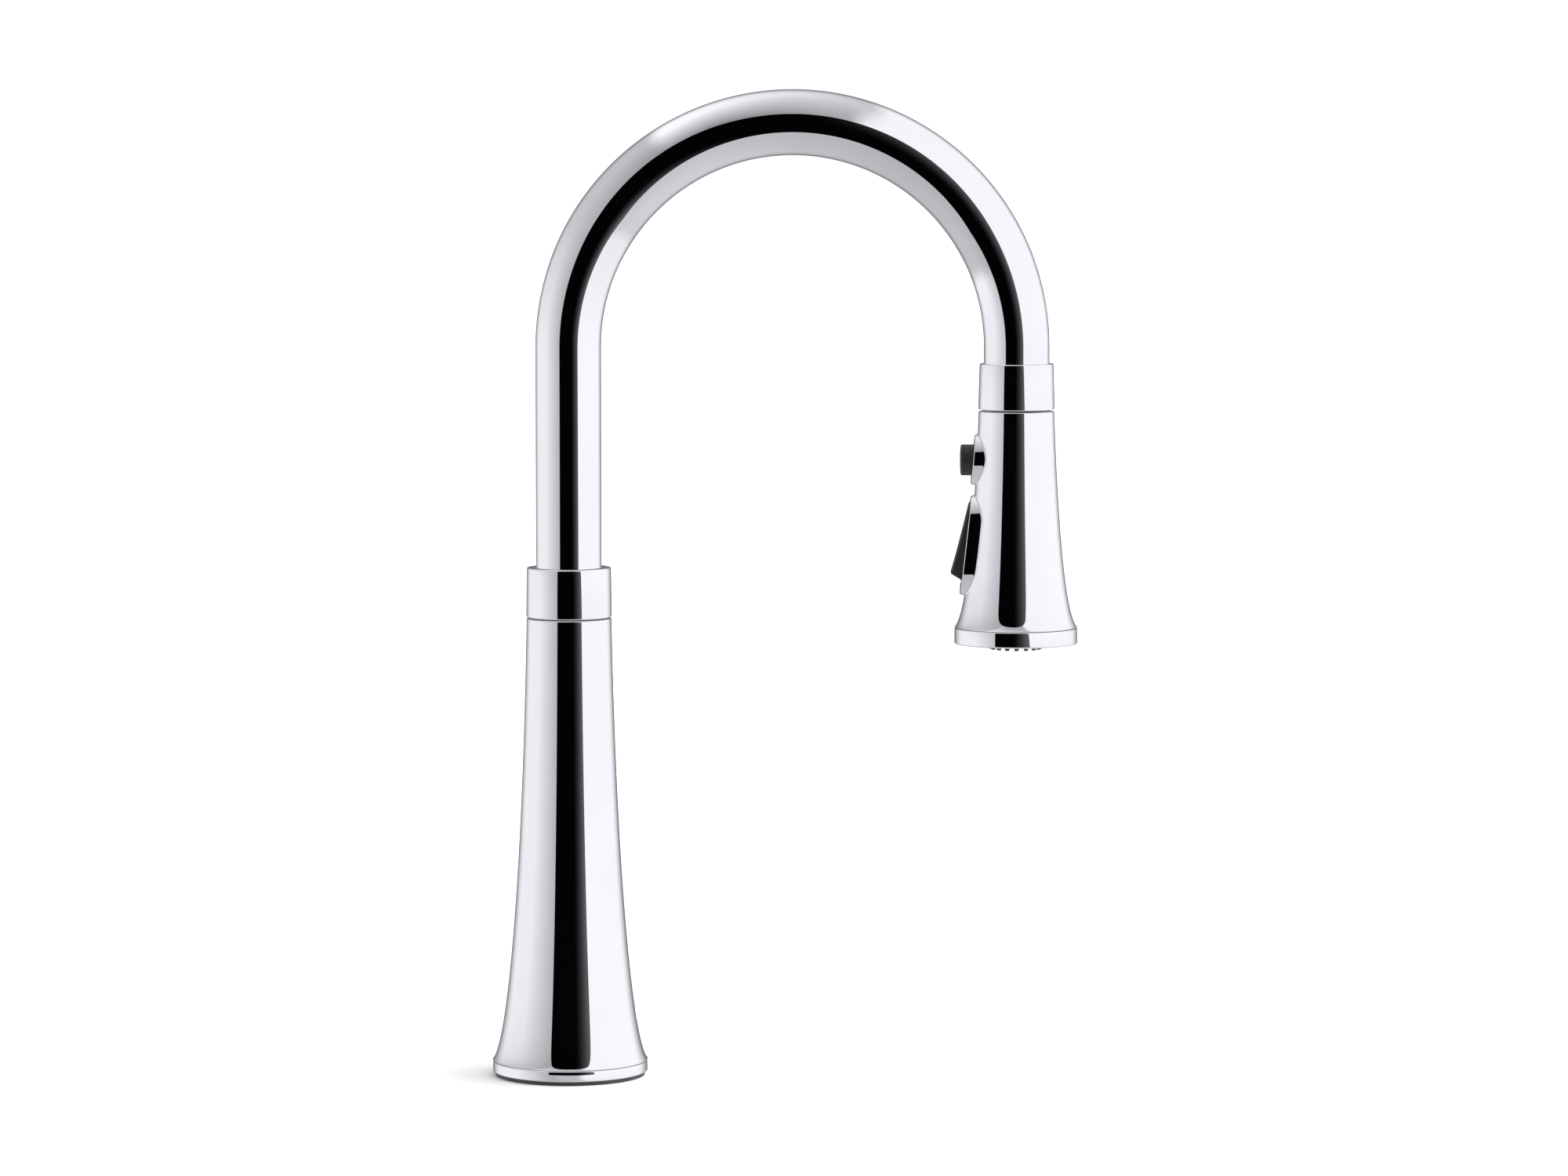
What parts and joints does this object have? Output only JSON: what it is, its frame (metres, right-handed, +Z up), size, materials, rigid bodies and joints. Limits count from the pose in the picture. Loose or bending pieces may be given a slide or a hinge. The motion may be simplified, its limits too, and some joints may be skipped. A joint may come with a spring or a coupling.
{
  "type": "pull down kitchen faucet",
  "caption": "High-arch kitchen faucet with a flared column, a swivelling spout, a side lever and a pull-down spray head with a button and a rocker.",
  "frame": {"origin": "centre of the column's foot, in the plane of the deck's top face", "axes": "+Z up the column's axis, +X along the spout's reach at rest, +Y towards the side lever"},
  "size_m": [0.2686, 0.1037, 0.5808],
  "materials": {
    "chrome": "polished",
    "brass": "machined",
    "steel": "machined",
    "black_rubber": "moulded",
    "grey_rubber": "moulded",
    "charcoal": "satin",
    "black_plastic": "moulded",
    "white_plastic": "moulded",
    "grey_plastic": "moulded",
    "braid": "braided",
    "magnet": "plated"
  },
  "bodies": {
    "base": {"column_shell": "chrome", "base_ring": "chrome", "base_gasket": "grey_rubber", "valve_body": "brass", "mounting_shank": "brass", "deck_washer": "black_rubber", "steel_washer": "steel", "mounting_nut": "brass", "clamp_screw_front": "steel", "clamp_screw_back": "steel", "hot_inlet": "brass", "cold_inlet": "brass", "shell_screw": "steel", "cartridge_sleeve": "chrome", "cartridge": "grey_plastic", "cartridge_nut": "brass", "swivel_bush": "white_plastic", "swivel_oring": "black_rubber", "swivel_washer": "black_plastic"},
    "stem_carrier": {"stem_rotor": "white_plastic"},
    "handle": {"cartridge_stem": "brass", "lever_cap": "chrome", "lever": "chrome", "lever_screw": "steel", "lever_plug": "chrome"},
    "spout": {"spout_tube": "chrome", "swivel_collar": "chrome", "spout_stub": "brass", "retaining_ring": "steel", "dock_collar": "chrome", "dock_magnet": "magnet", "hose_guide": "white_plastic", "pull_out_hose": "braid", "hose_fitting": "brass"},
    "hose_end": {"hose_nut": "brass"},
    "spray_head": {"spray_shell": "chrome", "spray_ring": "chrome", "spray_face": "charcoal", "nozzle_pad": "grey_rubber", "aerator": "white_plastic", "diverter_plate": "white_plastic", "waterway": "black_plastic", "check_valve": "white_plastic", "head_neck": "black_plastic", "head_magnet": "magnet", "button_spring": "steel", "rocker_pin": "steel"},
    "button": {"boost_button": "charcoal"},
    "rocker": {"mode_rocker": "charcoal"}
  },
  "joints": [
    {"name": "spout_swivel", "type": "hinge", "parent": "base", "child": "spout", "pos_m": [0, 0, 0.211], "axis": [0, 0, 1], "continuous": true},
    {"name": "lever_turn", "type": "hinge", "parent": "base", "child": "stem_carrier", "pos_m": [0, 0.029, 0.09], "axis": [0, 1, 0], "range_deg": [-45, 45]},
    {"name": "lever_tilt", "type": "hinge", "parent": "stem_carrier", "child": "handle", "pos_m": [0, 0.029, 0.09], "axis": [-1, 0, 0], "range_deg": [0, 20]},
    {"name": "spray_pull", "type": "slide", "parent": "spout", "child": "hose_end", "axis": [0, 0, -1], "range_m": [0, 0.18], "deforming": ["pull_out_hose"]},
    {"name": "spray_spin", "type": "hinge", "parent": "hose_end", "child": "spray_head", "pos_m": [0.2047, 0, 0.3], "axis": [0, 0, 1], "continuous": true},
    {"name": "button_press", "type": "slide", "parent": "spray_head", "child": "button", "axis": [1, 0, 0], "range_m": [0, 0.002], "stiffness_N_per_m": 300, "springref_m": -0.003, "deforming": ["button_spring"]},
    {"name": "rocker_tilt", "type": "hinge", "parent": "spray_head", "child": "rocker", "pos_m": [0.1855, 0, 0.2613], "axis": [0, -1, 0], "range_deg": [0, 10]}
  ]
}
